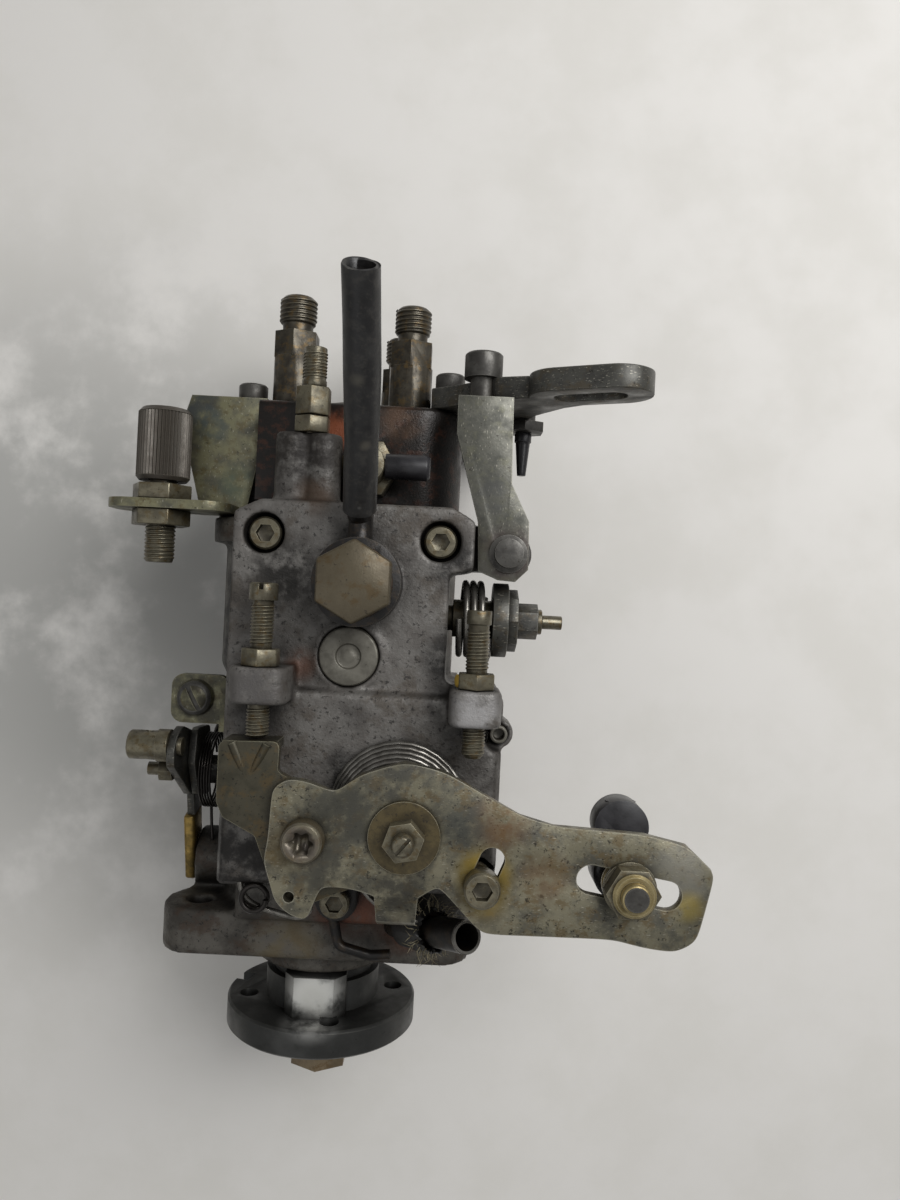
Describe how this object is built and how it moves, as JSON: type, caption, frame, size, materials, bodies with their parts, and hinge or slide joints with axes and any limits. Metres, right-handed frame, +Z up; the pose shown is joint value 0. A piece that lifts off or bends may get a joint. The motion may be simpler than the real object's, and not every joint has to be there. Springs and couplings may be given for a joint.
{
  "type": "diesel injection pump",
  "caption": "Mechanical distributor injection pump with drive hub, cast housing, governor cover, throttle, stop and cold-start levers and rear outlets.",
  "frame": {"origin": "where the drive shaft's axis meets the mounting flange's front face", "axes": "+Y rearwards along the drive axis to the outlets, +Z up to the governor cover, +X to the right seen from above with the outlets at the top"},
  "size_m": [0.1898, 0.276, 0.1809],
  "materials": {
    "cast_body": "as cast, weathered and oily",
    "cast_cover": "as cast, weathered",
    "head_steel": "oily with brown grime",
    "valve_steel": "dark with golden-brown grime",
    "zinc_screw": "zinc plated, worn",
    "gold_plug": "tan passivated",
    "banjo_steel": "blackened",
    "copper_washer": "dull copper",
    "black_rubber": "dusty and scuffed",
    "solenoid_metal": "dirty plated steel",
    "bracket_zinc": "olive passivated zinc",
    "adjuster_steel": "dull grey",
    "dark_plate": "mottled grey",
    "pipe_steel": "bright at the end, dirty below",
    "timer_alloy": "as cast",
    "bright_inner": "ground and oiled",
    "spring_steel": "drawn wire",
    "hub_steel": "smooth dark steel",
    "nut_tan": "tan passivated",
    "throttle_steel": "turned, worn",
    "lever_plate": "zinc passivated, mottled",
    "ball_steel": "plated",
    "socket_black": "black, scratched"
  },
  "bodies": {
    "housing": {"pump_housing": "cast_body", "governor_cover": "cast_cover", "cover_screws": "zinc_screw", "distributor_head": "head_steel", "housing_screws": "zinc_screw", "housing_plugs": "gold_plug", "delivery_valve_holders": "valve_steel", "delivery_valves": "bright_inner", "full_load_screw": "valve_steel", "locknuts": "zinc_screw", "idle_screw": "zinc_screw", "max_speed_screw": "zinc_screw", "banjo_washers": "copper_washer", "banjo_bolt": "gold_plug", "banjo_pipe": "banjo_steel", "return_hose": "black_rubber", "stop_solenoid": "solenoid_metal", "terminal_boots": "black_rubber", "cable_bracket": "bracket_zinc", "cable_adjuster": "adjuster_steel", "stay_strap": "dark_plate", "rear_support_plate": "dark_plate", "bracket_screws": "zinc_screw", "side_plate": "bracket_zinc", "inlet_pipe": "pipe_steel", "inlet_hose": "black_rubber", "vent_pipe": "pipe_steel", "timing_covers": "timer_alloy", "timing_spring": "spring_steel", "shaft_seal": "black_rubber", "feed_pump_ring": "bright_inner", "plunger_springs": "spring_steel", "governor_shaft": "bright_inner", "cold_start_spring": "spring_steel", "stop_spring": "spring_steel"},
    "drive": {"drive_shaft": "bright_inner", "drive_hub": "hub_steel", "hub_nut": "nut_tan", "feed_pump_rotor": "bright_inner", "drive_gear": "bright_inner", "cam_plate": "bright_inner", "plunger": "bright_inner"},
    "governor": {"flyweight_cage": "bright_inner", "flyweights": "bright_inner", "governor_sleeve": "bright_inner"},
    "timer": {"timing_piston": "bright_inner"},
    "ring": {"roller_ring": "bright_inner"},
    "governor_arm": {"governor_lever": "bright_inner"},
    "spool": {"control_spool": "bright_inner"},
    "throttle": {"throttle_shaft": "throttle_steel", "throttle_lever": "lever_plate", "stop_plate": "lever_plate", "lever_fasteners": "zinc_screw", "ball_stud": "ball_steel", "throttle_spring": "spring_steel"},
    "socket": {"ball_socket": "socket_black"},
    "cold_start": {"cold_start_lever": "lever_plate", "cable_pin": "adjuster_steel"},
    "stop": {"stop_shaft": "throttle_steel", "stop_lever": "lever_plate"}
  },
  "joints": [
    {"name": "drive_spin", "type": "hinge", "parent": "housing", "child": "drive", "pos_m": [0, 0, 0], "axis": [0, 1, 0], "continuous": true},
    {"name": "governor_spin", "type": "hinge", "parent": "housing", "child": "governor", "pos_m": [0.024, 0.05, 0.03507], "axis": [0, 1, 0], "continuous": true},
    {"name": "governor_arm_swing", "type": "hinge", "parent": "housing", "child": "governor_arm", "pos_m": [0, 0.1095, 0.026], "axis": [1, 0, 0], "range_deg": [-8, 0], "stiffness_Nm_per_rad": 0.5},
    {"name": "spool_slide", "type": "slide", "parent": "housing", "child": "spool", "axis": [0, 1, 0], "range_m": [-0.0023, 0]},
    {"name": "timer_slide", "type": "slide", "parent": "housing", "child": "timer", "axis": [1, 0, 0], "range_m": [0, 0.008], "stiffness_N_per_m": 2000},
    {"name": "ring_turn", "type": "hinge", "parent": "housing", "child": "ring", "pos_m": [0, 0.0755, 0], "axis": [0, 1, 0], "range_deg": [-10.3, 0]},
    {"name": "throttle_turn", "type": "hinge", "parent": "housing", "child": "throttle", "pos_m": [0.031, 0.0565, 0.08], "axis": [0, 0, 1], "range_deg": [0, 32], "stiffness_Nm_per_rad": 0.6, "springref_deg": -34.38},
    {"name": "socket_swivel", "type": "hinge", "parent": "throttle", "child": "socket", "pos_m": [0.0935, 0.0455, 0.072], "axis": [0, 0, 1], "range_deg": [-60, 60]},
    {"name": "cold_start_turn", "type": "hinge", "parent": "housing", "child": "cold_start", "pos_m": [-0.048, 0.0575, 0.012], "axis": [1, 0, 0], "range_deg": [-35, 0], "stiffness_Nm_per_rad": 0.4, "springref_deg": 22.92},
    {"name": "stop_turn", "type": "hinge", "parent": "housing", "child": "stop", "pos_m": [0.06, 0.1165, 0.046], "axis": [1, 0, 0], "range_deg": [0, 30], "stiffness_Nm_per_rad": 0.3, "springref_deg": -22.92}
  ],
  "couplings": [
    {"joint": "governor_spin", "follows": "drive_spin", "ratio": -1.6154},
    {"joint": "spool_slide", "follows": "governor_arm_swing", "m_per_rad": 0.01647},
    {"joint": "ring_turn", "follows": "timer_slide", "rad_per_m": -22.472}
  ]
}
